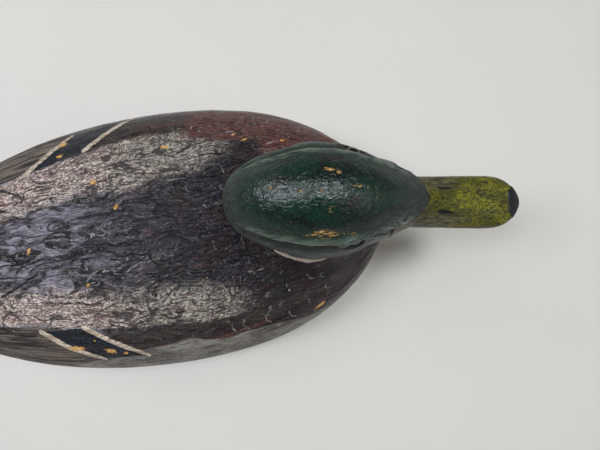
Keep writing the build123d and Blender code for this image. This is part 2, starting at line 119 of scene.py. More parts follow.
# short pale strokes of the brush, each a path over the back in plan
PALE_STROKES = [
    [(10, 44), (34, 43.2), (57, 46.2)],
    [(-88, -38.6), (-62, -42.5), (-38, -47.7)],
    [(79, 42.5), (83.5, 44), (87.5, 42.3)],
    [(54, 42.5), (56, 39), (57.3, 41)],
    [(51.4, 32.4), (52.6, 28), (55.2, 25.4)],
    [(35, 59.4), (36, 62.7)],
    [(27.3, 61), (29.4, 60.4)],
    [(56, 54), (61, 54)],
    [(20.6, 28), (27, 28.5)],
    [(41.7, -9.2), (42, -13.8), (43.5, -15.7)],
    [(58, -12.2), (59.7, -17)],
    [(63.8, -29.8), (68, -29)],
    [(58.7, -30), (61.6, -29.5)],
    [(78.2, -40), (79.8, -44.3)],
    [(66, -43.8), (70.2, -42.7)],
    [(60.5, -39.4), (63.8, -43)],
    [(50.4, -38.4), (51.6, -41.5), (53.4, -43.8)],
    [(63.8, -56), (63.4, -59.4), (65.7, -61)],
    [(77.2, -56.5), (78, -59.3), (80.8, -60.3)],
    [(91, -36), (92.3, -38.6), (95.2, -38.8)],
    [(43, -58), (43.7, -62), (45.7, -64)],
    [(51, -56.5), (49.5, -60), (53, -62.4)],
    [(-8.8, -20), (-4, -17), (2, -15)],
    [(-31.5, -21.7), (-26.7, -17.5), (-20, -14.8)],
    [(-59, -11), (-40, -14.3)],
]
# dark cuts where the long feathers over the tail end
DARK_CUTS = [
    [(-82, -23), (-69, -18), (-58, -12.7)],
    [(-79, 38.5), (-72, 35.5), (-63.6, 31.4)],
    [(-78, 26), (-73, 24)],
    [(-112, -10), (-100, -14), (-92, -21)],
    [(-118, 16), (-104, 20), (-96, 27)],
]
# chips that show the priming: x, y, half length, half width, turn in degrees
HULL_CHIPS = [
    (19.8, 49.6, 2.6, 0.8, 0),
    (-22.4, 34.2, 2.0, 1.2, 20),
    (-9.9, 17.4, 2.1, 0.9, 50),
    (-31.1, -23.6, 0.9, 1.1, 0),
    (-61.9, 0.3, 0.9, 2.0, -15),
    (96.6, -56.4, 3.6, 0.8, 28),
    (-43.5, 62.8, 2.3, 1.2, 25),
    (-44.0, 54.5, 1.9, 1.1, 0),
    (-47.5, -58.8, 4.2, 1.3, -12),
    (-29.0, -63.6, 2.8, 1.4, -18),
    (-21.5, -66.5, 1.3, 0.7, 0),
    (-36.0, -55.8, 0.8, 0.5, 0),
    (66.0, 47.5, 2.0, 0.6, 20),
    (60.0, 52.0, 1.4, 0.5, 10),
    (-103.0, -52.0, 3.2, 1.0, 20),
    (-118.0, -49.0, 2.2, 0.8, 30),
    (-150.0, 22.0, 2.4, 1.0, 10),
    (88.0, 44.0, 1.6, 0.6, -20),
]
HEAD_WEAR = [  # x, y, half length, half width, strength
    (6.0, -17.4, 5.2, 1.7, 1.0),
    (1.0, -18.0, 6.5, 0.8, 0.75),
    (15.0, -17.2, 6.0, 0.7, 0.7),
    (7.5, 8.6, 2.6, 0.9, 1.0),
    (11.0, 7.2, 1.4, 1.0, 0.9),
    (1.0, 7.4, 2.0, 0.5, 0.7),
    (18.6, 1.6, 2.4, 0.7, 0.95),
    (22.5, 0.9, 0.9, 0.9, 0.8),
    (-16.5, 1.6, 0.9, 1.2, 0.9),
    (-23.0, 3.4, 0.8, 0.8, 0.7),
    (-5.0, -0.6, 1.4, 0.6, 0.75),
    (3.5, -0.4, 1.2, 0.6, 0.7),
    (7.6, -8.2, 0.9, 2.0, 0.8),
    (-8.0, -2.4, 1.0, 0.5, 0.7),
    (-20.0, -24.0, 4.4, 0.6, 0.7),
]


def srgb(r, g, b):
    """A colour from 0 to 255 as it looks, as the linear colour that a shader takes."""
    parts = []
    for value in (r, g, b):
        v = value / 255
        parts.append(v / 12.92 if v <= 0.04045 else ((v + 0.055) / 1.055) ** 2.4)
    return (*parts, 1.0)


# ---------------------------------------- fields: numbers worked out at points of a surface
def smooth(value, low, high):
    """0 below low, 1 above high and a smooth rise between; low above high turns it round."""
    t = np.clip((value - low) / (high - low), 0, 1)
    return t * t * (3 - 2 * t)


def lattice(ix, iy, iz, seed):
    """A repeatable random number from 0 to 1 for each whole-number point."""
    h = (ix * 374761393 + iy * 668265263 + iz * 2147483647 + seed * 974634777) & 0xFFFFFFFF
    h = ((h ^ (h >> 13)) * 1274126177) & 0xFFFFFFFF
    return ((h ^ (h >> 16)) & 0xFFFF) / 65535.0


def noise(points, size, seed=0):
    """Smooth value noise from -1 to 1. size is the length of one lump, one number or one for each axis."""
    q = points / np.asarray(size, float)
    cell = np.floor(q).astype(np.int64)
    t = q - cell
    t = t * t * (3 - 2 * t)
    total = np.zeros(len(points))
    for corner in range(8):
        dx, dy, dz = corner & 1, corner >> 1 & 1, corner >> 2 & 1
        weight = np.abs(1 - dx - t[:, 0]) * np.abs(1 - dy - t[:, 1]) * np.abs(1 - dz - t[:, 2])
        total += weight * lattice(cell[:, 0] + dx, cell[:, 1] + dy, cell[:, 2] + dz, seed)
    return 2 * total - 1


def fractal(points, size, seed=0, octaves=3):
    """Noise on noise: each octave has half the size and about half the strength of the one before."""
    size = np.asarray(size, float)
    total, strength = np.zeros(len(points)), 1.0
    for octave in range(octaves):
        total += strength * noise(points, size / 2**octave, seed + 17 * octave)
        strength *= 0.55
    return total


def to_path(x, y, path):
    """Each point's distance to the line through the path's points, and how far along it lies, from 0 to 1."""
    best, along = np.full(len(x), 1e9), np.zeros(len(x))
    lengths = [math.dist(a, b) for a, b in zip(path, path[1:])]
    done = 0.0
    for a, b, length in zip(path, path[1:], lengths):
        ux, uy = (b[0] - a[0]) / length, (b[1] - a[1]) / length
        t = np.clip((x - a[0]) * ux + (y - a[1]) * uy, 0, length)
        distance = np.hypot(x - a[0] - t * ux, y - a[1] - t * uy)
        nearer = distance < best
        best = np.where(nearer, distance, best)
        along = np.where(nearer, (done + t) / sum(lengths), along)
        done += length
    return best, along


def right_of(x, y, path):
    """The distance to the right of the line from the path's first point to its last, negative on its left."""
    (ax, ay), (bx, by) = path[0], path[-1]
    length = math.hypot(bx - ax, by - ay)
    return ((x - ax) * (by - ay) - (y - ay) * (bx - ax)) / length


def ellipse_field(x, y, cx, cy, half_length, half_width, turn):
    """Below 1 inside a turned ellipse and above 1 outside it."""
    c, s = math.cos(math.radians(turn)), math.sin(math.radians(turn))
    along, across = (x - cx) * c + (y - cy) * s, -(x - cx) * s + (y - cy) * c
    return np.hypot(along / half_length, across / half_width)


# ---------------------------------------- meshes made from the frame's nodes
def mesh_points(mesh):
    co = np.empty(len(mesh.vertices) * 3)
    mesh.vertices.foreach_get("co", co)
    return co.reshape(-1, 3) / MM


def mesh_normals(mesh):
    normals = np.empty(len(mesh.vertices) * 3)
    mesh.vertex_normals.foreach_get("vector", normals)
    return normals.reshape(-1, 3)


def set_points(mesh, points):
    mesh.vertices.foreach_set("co", (points * MM).ravel())
    mesh.update()


def add_object(name, data):
    added = bpy.data.objects.new(name, data)
    bpy.context.scene.collection.objects.link(added)
    return added


def tree_of(names):
    """A search tree over the frame's nodes, in metres."""
    vertices, triangles = [], []
    for name in names:
        mesh = NODES[name].data
        mesh.calc_loop_triangles()
        start = len(vertices)
        vertices += [v.co.copy() for v in mesh.vertices]
        triangles += [[start + i for i in t.vertices] for t in mesh.loop_triangles]
    return BVHTree.FromPolygons(vertices, triangles)


def recast(name, names, voxel):
    """A new evenly meshed object over the frame's nodes, lying on their surface."""
    mesh = bpy.data.meshes.new(name)
    vertices, faces = [], []
    for node in names:
        source = NODES[node].data
        start = len(vertices)
        vertices += [v.co[:] for v in source.vertices]
        faces += [[start + i for i in p.vertices] for p in source.polygons]
    mesh.from_pydata(vertices, [], faces)
    piece = add_object(name, mesh)
    remesh = piece.modifiers.new("even", "REMESH")
    remesh.mode = "VOXEL"
    remesh.voxel_size = voxel * MM
    fine = bpy.data.meshes.new_from_object(piece.evaluated_get(bpy.context.evaluated_depsgraph_get()))
    piece.modifiers.clear()
    piece.data = fine
    fine.name = name
    surface = tree_of(names)
    points = mesh_points(fine)
    for i, point in enumerate(points):
        found = surface.find_nearest(Vector(point * MM), voxel * MM)[0]
        if found is not None:
            points[i] = np.array(found) / MM
    set_points(fine, points)
    fine.shade_smooth()
    return piece


def edges_of(mesh):
    edges = np.empty(len(mesh.edges) * 2, np.int64)
    mesh.edges.foreach_get("vertices", edges)
    return edges.reshape(-1, 2)


def relax(mesh, points, weight, rounds):
    """Evens out the surface where weight is above 0, by moving each vertex towards its neighbours' middle."""
    edges = edges_of(mesh)
    count = np.bincount(edges.ravel(), minlength=len(points))[:, None]
    for _ in range(rounds):
        total = np.zeros_like(points)
        np.add.at(total, edges[:, 0], points[edges[:, 1]])
        np.add.at(total, edges[:, 1], points[edges[:, 0]])
        points = points + weight[:, None] * (total / np.maximum(count, 1) - points)
    return points


def keep_faces(piece, wanted):
    """Deletes the unwanted points and every face that touches one, such as the lining of a closed hollow."""
    bm = bmesh.new()
    bm.from_mesh(piece.data)
    gone = [v for v, keep in zip(bm.verts, wanted) if not keep]
    bmesh.ops.delete(bm, geom=gone, context="VERTS")
    bm.to_mesh(piece.data)
    bm.free()
    piece.data.shade_smooth()


def store(mesh, **fields):
    """Keeps each field on the mesh's vertices, for the paint's shader."""
    for name, values in fields.items():
        layer = mesh.attributes.new(name, "FLOAT", "POINT")
        layer.data.foreach_set("value", np.asarray(values, np.float32))


# ---------------------------------------- shader graphs
class Graph:
    """Builds a node material. Every method takes numbers, colours or sockets and gives a socket back."""

    def __init__(self, name):
        self.material = bpy.data.materials.new(name)
        self.material.use_nodes = True
        self.tree = self.material.node_tree
        self.tree.nodes.clear()
        self.out = self.tree.nodes.new("ShaderNodeOutputMaterial")
        self.shader = self.tree.nodes.new("ShaderNodeBsdfPrincipled")
        self.tree.links.new(self.shader.outputs[0], self.out.inputs["Surface"])
        scaled = self.tree.nodes.new("ShaderNodeVectorMath")
        scaled.operation = "SCALE"
        scaled.inputs["Scale"].default_value = 1 / MM
        coords = self.tree.nodes.new("ShaderNodeTexCoord")
        self.tree.links.new(coords.outputs["Object"], scaled.inputs[0])
        self.place = scaled.outputs[0]

    def node(self, kind, *values, **settings):
        """A new node with its settings and, in the order of its sockets, its first inputs."""
        node = self.tree.nodes.new("ShaderNode" + kind)
        for name, setting in settings.items():
            setattr(node, name, setting)
        for value, socket in zip(values, node.inputs):
            self.put(value, socket)
        return node

    def put(self, value, socket):
        if isinstance(value, bpy.types.NodeSocket):
            self.tree.links.new(value, socket)
        else:
            socket.default_value = value

    def math(self, operation, *values):
        return self.node("Math", *values, operation=operation).outputs[0]

    def add(self, a, b):
        return self.math("ADD", a, b)

    def sub(self, a, b):
        return self.math("SUBTRACT", a, b)

    def mul(self, a, b):
        return self.math("MULTIPLY", a, b)

    def most(self, a, b):
        return self.math("MAXIMUM", a, b)

    def size(self, a):
        return self.math("ABSOLUTE", a)

    def swing(self, noise, reach):
        """Noise from 0 to 1 as a number that swings by up to half the reach about 0."""
        return self.mul(self.sub(noise, 0.5), reach)

    def step(self, value, low, high):
        """0 below low, 1 above high; low above high turns it round."""
        first, last = min(low, high), max(low, high)
        node = self.node("MapRange", value, first, last, interpolation_type="SMOOTHSTEP")
        if low > high:
            self.put(1.0, node.inputs["To Min"])
            self.put(0.0, node.inputs["To Max"])
        return node.outputs[0]

    def mix(self, factor, a, b):
        """From colour a to colour b."""
        node = self.node("Mix", factor, data_type="RGBA")
        self.put(a, node.inputs[6])
        self.put(b, node.inputs[7])
        return node.outputs[2]

    def field(self, name):
        return self.node("Attribute", attribute_name=name).outputs["Fac"]

    def part(self, vector, axis):
        return self.node("SeparateXYZ", vector).outputs[axis]

    def stretch(self, vector, lengths):
        """The place divided by these lengths, so that a pattern of size 1 comes out that long."""
        node = self.node("Mapping", vector)
        node.inputs["Scale"].default_value = [1 / length for length in lengths]
        return node.outputs[0]

    def turned(self, vector, turn):
        """The place turned back about the neck's line, so that X runs along the head; the origin stays."""
        node = self.node("VectorRotate", vector, rotation_type="Z_AXIS")
        node.inputs["Center"].default_value = (NECK_X, 0, 0)
        node.inputs["Angle"].default_value = -turn
        return node.outputs[0]

    def vector(self, x, y, z):
        return self.node("CombineXYZ", x, y, z).outputs[0]

    def apart(self, a, b):
        """The vector from b to a."""
        return self.node("VectorMath", a, b, operation="SUBTRACT").outputs[0]

    def shift(self, vector, colour, reach):
        """The vector moved by the colour times the reach along each axis."""
        return self.node("VectorMath", colour, (reach,) * 3, vector, operation="MULTIPLY_ADD").outputs[0]

    def noise(self, vector, lengths, detail=2.0, rough=0.5, warp=0.0, output="Fac"):
        """Noise whose lumps are about this long along each axis."""
        node = self.node("TexNoise")
        self.put(self.stretch(vector, lengths), node.inputs["Vector"])
        node.inputs["Scale"].default_value = 1.0
        node.inputs["Detail"].default_value = detail
        node.inputs["Roughness"].default_value = rough
        node.inputs["Distortion"].default_value = warp
        return node.outputs[output]

    def contours(self, vector, lengths, count, half_width):
        """Curling lines, 1 on a line and 0 between them: a smooth noise's contours."""
        level = self.math("FRACT", self.mul(self.noise(vector, lengths, 1.5, 0.5, 0.9), float(count)))
        return self.step(self.size(self.sub(level, 0.5)), half_width * 1.3, half_width * 0.5)

    def cells(self, vector, feature="F1"):
        node = self.node("TexVoronoi", vector, feature=feature)
        node.inputs["Scale"].default_value = 1.0
        return node

    def bump(self, height, distance, strength=1.0):
        node = self.node("Bump")
        node.inputs["Strength"].default_value = strength
        node.inputs["Distance"].default_value = distance * MM
        self.put(height, node.inputs["Height"])
        return node.outputs[0]

    def finish(self, colour, rough, normal=None, **constants):
        self.put(colour, self.shader.inputs["Base Color"])
        self.put(rough, self.shader.inputs["Roughness"])
        if normal is not None:
            self.put(normal, self.shader.inputs["Normal"])
        for name, value in constants.items():
            self.shader.inputs[name.replace("_", " ")].default_value = value
        return self.material


# ---------------------------------------- the hull: its carving and where each colour goes
def breadth_of(points):
    """The hull's half breadth at each station along it: stations and half breadths."""
    stations = np.arange(points[:, 0].min(), points[:, 0].max(), 2.0)
    place = np.clip(np.searchsorted(stations, points[:, 0]) - 1, 0, len(stations) - 1)
    half = np.zeros(len(stations))
    np.maximum.at(half, place, np.abs(points[:, 1]))
    return stations + 1.0, np.maximum(np.convolve(np.pad(half, 2, "edge"), np.ones(5) / 5, "valid"), 3.0)


def hull_fields(points, breadth):
    """Where each colour of the hull lies, from 0 to 1, and how far each point is from what is drawn on it."""
    x, y, z = points.T
    lateral = y / np.interp(x, *breadth)
    u = np.abs(lateral) + 0.03 * noise(points, (34, 14, 14), 5) + 0.012 * noise(points, (9, 4, 4), 9)
    stations = [-200, -150, -80, -50, -20, 30, 55, 70]
    inner = np.interp(x, stations, [0.10, 0.26, 0.35, 0.36, 0.40, 0.44, 0.53, 0.62])
    outer_left = np.interp(x, stations, [0.50, 0.56, 0.60, 0.645, 0.70, 0.74, 0.73, 0.72])
    outer_right = np.interp(x, stations, [0.50, 0.55, 0.58, 0.61, 0.65, 0.66, 0.66, 0.66])
    outer = np.where(y > 0, outer_left, outer_right)
    over = smooth(z, BACK_Z, BACK_Z + 6)
    band = smooth(u, inner - 0.20, inner + 0.10) * smooth(u, outer + 0.03, outer - 0.03)
    band *= smooth(x, 78, 30) * smooth(x, -190, -170) * over
    flank_stations = [-150, -100, -60, -20, 20, 60, 90, 118, 140]
    flank_top = np.interp(x, flank_stations, [46, 52, 64, 75.5, 76, 73, 67, 50, 40])
    flank_top = flank_top - 11.0 * smooth(y, -18, 18) + 2.0 * noise(points, (18, 9, 9), 31)
    flank = smooth(z, flank_top + 1.6, flank_top - 1.6) * smooth(x, -75, -35)
    breast = smooth(x + 0.35 * (78 - z) - 30 * smooth(np.abs(lateral), 0.75, 0.45), 18, 56)
    breast = np.maximum(breast, smooth(x, 84, 112))
    mantle = smooth(x, 18, 52) * smooth(u, 0.86, 0.66) * over
    rump = smooth(x, -128, -165) * smooth(u, 0.62, 0.36)
    tail_edge = smooth(x, -160, -185) * smooth(np.abs(lateral), 0.45, 0.8)
    rear_side = smooth(x, -30, -62) * smooth(u, outer - 0.01, outer + 0.03)
    reddish = smooth(y + 8 * noise(points, 14.0, 35), 2, 26)
    ruddy = smooth(x, 4, 60) * smooth(np.abs(lateral), 0.56, 0.70) * reddish
    ruddy = np.maximum(ruddy, smooth(x, 60, 88) * smooth(np.abs(lateral), 0.40, 0.56) * reddish)
    wing_edge = smooth(np.abs(u - 0.81), 0.05, 0.01) * smooth(x, -30, 10) * smooth(x, 90, 60)
    ruddy = np.maximum(ruddy, 0.55 * wing_edge)
    bars, blue = np.full(len(x), 99.0), np.full(len(x), -99.0)
    for hand, paths in BARS.items():
        plan_y = y * hand
        here = (plan_y > 0) & (z > BACK_Z)
        for name, path in paths.items():
            distance, along = to_path(x, plan_y, path)
            taper = BAR_HALF_WIDTH[name] * (1 - 0.3 * smooth(along, 0.7, 1.0))
            bars = np.where(here, np.minimum(bars, distance - taper), bars)
        rear, front = paths["rear"], paths["front"]
        within = np.minimum(right_of(x, plan_y, rear), -right_of(x, plan_y, front))
        within = np.minimum(within, -right_of(x, plan_y, [rear[0], front[0]]))
        within = np.minimum(within, right_of(x, plan_y, [rear[-1], front[-1]]))
        blue = np.where(here, within, blue)
    chips = np.full(len(x), 9.0)
    for chip in HULL_CHIPS:
        chips = np.minimum(chips, ellipse_field(x, y, *chip))
    strokes, cuts = np.full(len(x), 99.0), np.full(len(x), 99.0)
    for path in PALE_STROKES:
        distance, along = to_path(x, y, path)
        strokes = np.minimum(strokes, distance - 0.55 + 0.3 * along)
    for path in DARK_CUTS:
        distance, along = to_path(x, y, path)
        cuts = np.minimum(cuts, distance - 0.9 + 0.7 * along)
    drawn_on = z > BACK_Z
    neck = np.hypot(x - NECK_X, y) + 0.7 * noise(points, 4.0, 33)
    return {
        "lateral": lateral,
        "band": band,
        "mantle": mantle,
        "flank": flank,
        "breast": breast,
        "rump": rump,
        "tail_edge": tail_edge,
        "rear_side": rear_side,
        "ruddy": ruddy,
        "bars": bars,
        "blue": blue,
        "chips": np.where(drawn_on, chips, 9.0),
        "strokes": np.where(drawn_on, strokes, 99.0),
        "cuts": np.where(drawn_on, cuts, 99.0),
        "ring": smooth(neck, 29.9, 29.3) * smooth(z, 90, 92),
        "worn": smooth(z, 14, 3) + 0.4 * smooth(np.abs(z - SEAM_Z), 2.0, 0.3),
    }


def carve_hull(points, normals, fields):
    """The hand-carved surface: tool marks, brush ridges along the back and combed flanks."""
    x, z = points[:, 0], points[:, 2]
    over = smooth(z, BACK_Z, BACK_Z + 12)
    flow = np.stack([x, 80 * fields["lateral"], z * 0.5], 1)
    swirl = flow + 5.0 * np.stack([noise(flow, 30, 51), noise(flow, 30, 52), np.zeros(len(x))], 1)
    height = 0.28 * noise(points, (38, 22, 22), 41) + 0.10 * noise(points, (11, 7, 7), 42)
    height += 0.20 * over * (1 - 2 * np.abs(fractal(swirl, (19, 4.4, 6.0), 43, 2)))
    height += 0.08 * over * noise(swirl, (6.0, 2.6, 4.0), 45)
    combed = np.maximum(fields["flank"], fields["rear_side"])
    height += 0.08 * combed * noise(flow, (46, 2.6, 2.6), 44)
    height += 0.40 * smooth(fields["bars"], 0.4, -0.9)
    height += 0.35 * smooth(fields["strokes"], 0.7, -0.3)
    height -= 0.45 * smooth(fields["cuts"], 0.8, -0.4)
    height -= 0.16 * smooth(fields["chips"], 1.15, 0.8)
    flat = smooth(z, 1.6, 0.4) + smooth(np.abs(z - SEAM_Z), 1.2, 0.6)
    return points + normals * (height * (1 - np.clip(flat, 0, 1)))[:, None]


def in_hollow(points, normals):
    """True for the points that line the closed hollow: wood is ahead of them, outwards, and up or down."""
    shells = tree_of(["upper_body_shell", "lower_body_shell", "seam_seal"])
    lining = []
    for point, normal in zip(points, normals):
        start = Vector((point + normal * 0.9) * MM)
        ways = (normal, (0, math.copysign(1, point[1]), 0), (0, 0, math.copysign(1, point[2] - SEAM_Z)))
        lining.append(all(shells.ray_cast(start, Vector(way))[0] is not None for way in ways))
    return np.array(lining) & (np.abs(points[:, 2] - SEAM_Z) > 1.2)


def hull_piece(name, node, voxel, breadth=None):
    piece = recast(name, [node], voxel)
    mesh = piece.data
    points = mesh_points(mesh)
    if breadth is None:
        breadth = breadth_of(points)
    lining = in_hollow(points, mesh_normals(mesh))
    x, y, z = points.T
    around = np.hypot(x - NECK_X, y)
    blend = smooth(around, SEAT_EDGE - 1, SEAT_EDGE + 1) * smooth(around, 52, 42) * smooth(z, 66, 74)
    points = relax(mesh, points, 0.6 * blend, 90)
    set_points(mesh, points)
    fields = hull_fields(points, breadth)
    seat = smooth(around, SEAT_EDGE + 1, SEAT_EDGE - 1) * smooth(z, 92, 93.5)
    carved = carve_hull(points, mesh_normals(mesh), fields)
    points += (carved - points) * ((1 - seat) * ~lining)[:, None]
    set_points(mesh, points)
    store(mesh, **fields)
    keep_faces(piece, ~lining)
    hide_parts(node)
    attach(piece, "hull")
    return piece, breadth


# ---------------------------------------- the head, in its own frame
def spin(vectors, angle):
    """The vectors turned about Z."""
    c, s = math.cos(angle), math.sin(angle)
    x, y, z = vectors.T
    return np.stack([x * c - y * s, x * s + y * c, z], 1)


def to_head(points):
    return spin(points - (NECK_X, 0, 0), -HEAD_TURN)


def from_head(points):
    return spin(points, HEAD_TURN) + (NECK_X, 0, 0)


def half_head(x):
    """The head's half breadth along its axis."""
    stations = [-40, -37, -29, -14.5, 0, 11.5, 24, 36, 47, 55]
    return np.interp(x, stations, [5, 12, 18, 24.2, 27.2, 26.8, 22.8, 18, 13.6, 9])


def head_fields(points):
    """points are in the head's frame."""
    x, y, z = points.T
    y_abs = np.abs(y)
    base_stations = [BILL_BASE, BILL_BASE - 1.3, 50.0, 46.0, 39.5, 28.0]
    upper_base = np.interp(y_abs, [0, 3, 8, 11, 14, 30], base_stations)
    lower_base = np.interp(z, [108, 115, 122], [46.0, 40.5, 41.5])
    low = smooth(z, 124, 120)
    bill = x - upper_base * (1 - low) - lower_base * low + 0.5 * noise(points, 3.0, 61)
    left_slot = ellipse_field(x, y, NOSTRIL_X, NOSTRIL_Y, 4.4, 1.0, 4)
    right_slot = ellipse_field(x, y, NOSTRIL_X, -NOSTRIL_Y, 4.2, 1.2, -6)
    nostril = np.minimum(left_slot, right_slot)
    nail = x - (BILL_TIP - 7.6) - 0.6 * np.sin(y_abs * 0.9) - 0.055 * y_abs**2 + 0.8 * noise(points, 2.0, 62)
    mouth = np.abs(z - np.interp(x, [34, 50, 75, 100], [118.5, 115.4, 115.2, 115.6]))
    mouth = np.where((y_abs > 7) & (x > 34) & (x < 102), mouth, 9.0)
    wear = np.zeros(len(x))
    for cx, cy, half_length, half_width, strength in HEAD_WEAR:
        blob = ellipse_field(x, y, cx, cy, half_length, half_width, 0)
        wear = np.maximum(wear, strength * smooth(blob, 2.4, 0.1))
    u = y_abs / half_head(x) + 0.10 * (y > 0)
    length = smooth(z, 130, 138) * smooth(x, -37, -22) * smooth(x, 46, 34)
    neck_ring = smooth(z - NECK_Z + 0.5 * noise(points, 5.0, 63), 6.6, 5.6)
    return {
        "bill": bill,
        "nostril": np.where(z > 120, nostril, 9.0),
        "nail": nail,
        "mouth": mouth,
        "wear": np.where(z > 140, wear, 0.0),
        "ring": neck_ring,
        "groove": np.exp(-(((u - 0.875) / 0.045) ** 2)) * length,
        "cheek": smooth(x, 22, 31) * smooth(z, 151, 145) * smooth(y_abs, 8, 12),
        "ridge": np.exp(-(((u - 0.765) / 0.05) ** 2)) * length,
    }


def carve_head(points, normals, fields):
    """The crown's ridge over the eye's long groove, full cheeks, and the bill's culmen, slots and nail."""
    x, y, z = points.T
    y_abs = np.abs(y)
    u = y_abs / half_head(x)
    above = smooth(z, 130, 138)
    height = -2.4 * fields["groove"]
    height += 0.8 * fields["ridge"] * (1 + 0.5 * (y < 0))
    height += 0.7 * smooth(np.abs(z - 129), 13, 2) * smooth(np.abs(x - 8), 28, 8) * smooth(u, 0.85, 0.97)
    height -= 0.9 * smooth(x, -3, -18) * smooth(y, 6, 16) * above
    on_bill = smooth(fields["bill"], -0.4, 0.4)
    height += 0.8 * smooth(fields["bill"], -5.0, -0.5) * (1 - on_bill) * smooth(z, 112, 118)
    on_top = on_bill * smooth(z, 118.5, 121.5)
    hollow = smooth(x, 42, 50) * smooth(x, 88, 66)
    height -= 2.3 * hollow * np.exp(-(((y_abs - 8.8) / 2.7) ** 2)) * on_top
    height += 0.9 * smooth(x, 80, 54) * np.exp(-((y_abs / 3.2) ** 2)) * on_top
    height += 0.45 * smooth(fields["nail"], -0.6, 0.6) * on_bill
    height -= 1.2 * smooth(fields["nostril"], 1.25, 0.6)
    height -= 0.7 * smooth(fields["mouth"], 0.9, 0.1)
    tool_marks = 0.24 * noise(points, (12, 9, 9), 71) + 0.07 * fractal(points, (7, 3.2, 3.2), 72, 2)
    height += tool_marks * (1 - on_bill)
    height += 0.06 * fractal(points, (6, 2.2, 2.2), 73, 2) * on_bill
    height -= 0.2 * smooth(fields["wear"], 0.5, 0.9)
    return points + normals * height[:, None]


def eye_piece(node, hand):
    """The glass eye, set back a little under its lids."""
    source = NODES[node]
    mesh = source.data.copy()
    piece = add_object("set_" + node, mesh)
    piece.matrix_world = source.matrix_world.copy()
    middle = np.array((EYE_X, hand * EYE_Y, EYE_Z))
    points = to_head(mesh_points(mesh))
    points = middle + (points - middle) * EYE_SHRINK - (0, hand * EYE_SET_BACK, 0)
    set_points(mesh, from_head(points))
    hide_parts(node)
    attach(piece, "head")
    return piece


def head_piece():
    """The carved head under its paint, which also covers the putty round the eyes."""
    piece = recast("painted_head", ["head", "left_eye_putty", "right_eye_putty"], HEAD_VOXEL)
    mesh = piece.data
    points = to_head(mesh_points(mesh))
    x, y, z = points.T
    around = np.hypot(x, y)
    crease = smooth(z, 98, 103) * smooth(z, 124, 117) * smooth(x, 38, 34) * smooth(around, 12, 16)
    points = relax(mesh, points, 0.6 * crease, 160)
    points = relax(mesh, points, 0.6 * smooth(z, 149, 156), 110)
    chin = smooth(x, 30, 34) * smooth(x, 52, 46) * smooth(z, 122, 116)
    points = relax(mesh, points, 0.6 * chin, 60)
    from_eyes = [np.linalg.norm(points - (EYE_X, side * EYE_Y, EYE_Z), axis=1) for side in (1, -1)]
    eye = np.minimum(*from_eyes)
    lids = smooth(eye, 8.6, 7.4) * smooth(eye, 4.6, 5.2)
    points = relax(mesh, points, 0.5 * lids, 10)
    set_points(mesh, from_head(points))
    turned = spin(mesh_normals(mesh), -HEAD_TURN)
    fields = head_fields(points)
    carved = carve_head(points, turned, fields)
    free = smooth(z, NECK_Z + 0.3, NECK_Z + 1.5) * smooth(around, 6, 9) * smooth(eye, 5.0, 9.0)
    points = points + (carved - points) * free[:, None]
    points += turned * (lids * (0.2 + (1.6 - 1.0 * (y > 0)) * smooth(z, EYE_Z - 1.0, EYE_Z + 3.0)))[:, None]
    brow = np.exp(-(((x - EYE_X) / 7.5) ** 2)) * np.exp(-(((z - EYE_Z - 5.2) / 2.4) ** 2))
    brow *= smooth(np.abs(y), 12, 16)
    points[:, 1] -= 0.9 * brow * (y < 0)
    points[:, 2] -= 0.4 * brow
    set_points(mesh, from_head(points))
    store(mesh, eye=eye, **fields)
    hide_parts("head")
    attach(piece, "head")
    return piece


